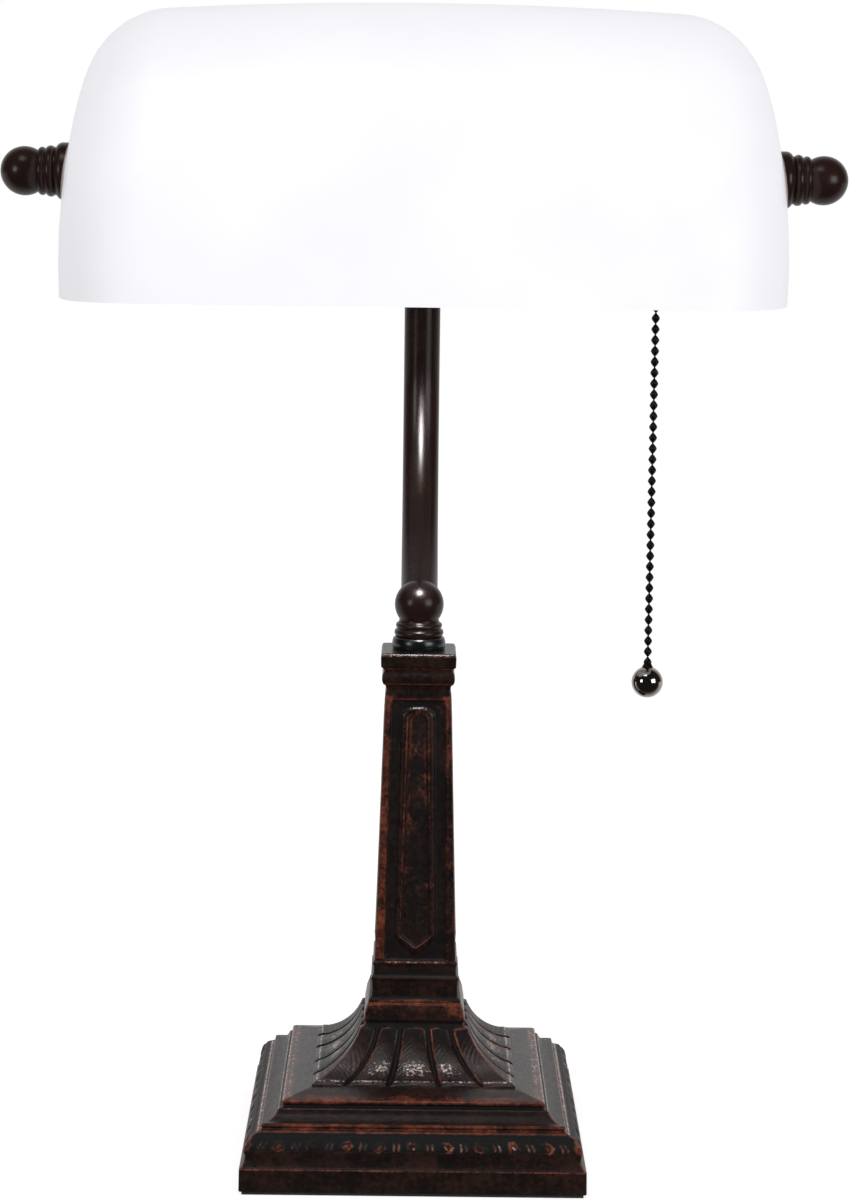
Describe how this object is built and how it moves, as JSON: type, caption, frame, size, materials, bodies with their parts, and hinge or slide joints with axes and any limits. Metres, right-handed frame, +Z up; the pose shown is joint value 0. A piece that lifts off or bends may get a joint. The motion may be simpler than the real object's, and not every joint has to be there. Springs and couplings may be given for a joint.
{
  "type": "desk lamp",
  "caption": "Banker desk lamp: tilting opal glass hood on a bowed tube arm, square column with panels, stepped square base, bead pull chain.",
  "frame": {"origin": "centre of the underside, on the axis of the column, on the surface that the lamp stands on", "axes": "+Z up along the column, -Y towards the front, +X to the right, the side of the pull chain"},
  "size_m": [0.2582, 0.146, 0.3598],
  "materials": {
    "antique_bronze": "cast metal with near-black brown antique lacquer, rubbed to red-brown on edges and ridges",
    "bronze_enamel": "smooth satin-gloss dark brown enamel",
    "black_enamel": "gloss black with a green cast",
    "opal_glass": "white opal glass, glossy outside",
    "clear_washer": "translucent nylon",
    "black_chain": "blackened bead chain",
    "black_nickel": "polished black nickel",
    "zinc_steel": "zinc plated",
    "raw_iron": "raw casting skin",
    "felt": "black felt",
    "black_plastic": "moulded black",
    "liner_board": "pressed insulating board",
    "socket_brass": "thin pressed brass",
    "bulb_white": "frosted white inside",
    "bulb_metal": "bright rolled thread"
  },
  "bodies": {
    "stand": {"base_casting": "antique_bronze", "column_casting": "antique_bronze", "weight_plate": "raw_iron", "bottom_cover": "zinc_steel", "felt_pad": "felt", "stem_pipe": "zinc_steel", "stem_nut": "zinc_steel", "stem_washer": "zinc_steel", "stem_lock_washer": "zinc_steel", "cord_bushing": "black_plastic", "seat_collar": "black_enamel", "arm_ball": "bronze_enamel", "gooseneck_arm": "bronze_enamel", "shade_bracket": "bronze_enamel", "bracket_nipple": "zinc_steel", "bracket_nut": "zinc_steel", "bracket_washer": "zinc_steel", "left_stud": "zinc_steel", "right_stud": "zinc_steel", "left_stud_nut": "zinc_steel", "right_stud_nut": "zinc_steel", "socket_tab": "zinc_steel", "socket_nipple": "zinc_steel", "socket_nipple_nut": "zinc_steel", "socket_spacer": "zinc_steel", "socket_cap": "socket_brass", "socket_shell": "socket_brass", "socket_liner": "liner_board", "switch_body": "black_plastic", "screw_shell": "socket_brass", "centre_contact": "socket_brass", "chain_bell": "black_enamel", "bulb_glass": "bulb_white", "bulb_cap": "bulb_metal"},
    "shade": {"shade_glass": "opal_glass", "left_bevel_collar": "bronze_enamel", "right_bevel_collar": "bronze_enamel", "left_glass_bush": "clear_washer", "right_glass_bush": "clear_washer", "left_inner_washer": "clear_washer", "right_inner_washer": "clear_washer"},
    "left_knob": {"left_knob": "bronze_enamel"},
    "right_knob": {"right_knob": "bronze_enamel"},
    "switch_pull": {"pull_link": "black_chain"},
    "chain_swivel": {"chain_swivel_bead": "black_chain"},
    "chain": {"pull_chain": "black_chain", "chain_connector": "black_chain", "pull_ball": "black_nickel"}
  },
  "joints": [
    {"name": "shade_tilt", "type": "hinge", "parent": "stand", "child": "shade", "pos_m": [0, -0.01, 0.3083], "axis": [1, 0, 0], "range_deg": [-8, 35]},
    {"name": "left_knob_turn", "type": "hinge", "parent": "stand", "child": "left_knob", "pos_m": [-0.1214, -0.01, 0.3083], "axis": [-1, 0, 0], "continuous": true},
    {"name": "right_knob_turn", "type": "hinge", "parent": "stand", "child": "right_knob", "pos_m": [0.1214, -0.01, 0.3083], "axis": [1, 0, 0], "continuous": true},
    {"name": "switch_pull", "type": "slide", "parent": "stand", "child": "switch_pull", "axis": [0, 0, -1], "range_m": [0, 0.008], "stiffness_N_per_m": 500, "springref_m": -0.004},
    {"name": "chain_swing_side", "type": "hinge", "parent": "switch_pull", "child": "chain_swivel", "pos_m": [0.0699, -0.028, 0.2764], "axis": [0, 1, 0], "range_deg": [-20, 20]},
    {"name": "chain_swing_front", "type": "hinge", "parent": "chain_swivel", "child": "chain", "pos_m": [0.0699, -0.028, 0.2764], "axis": [1, 0, 0], "range_deg": [-12, 12]}
  ]
}
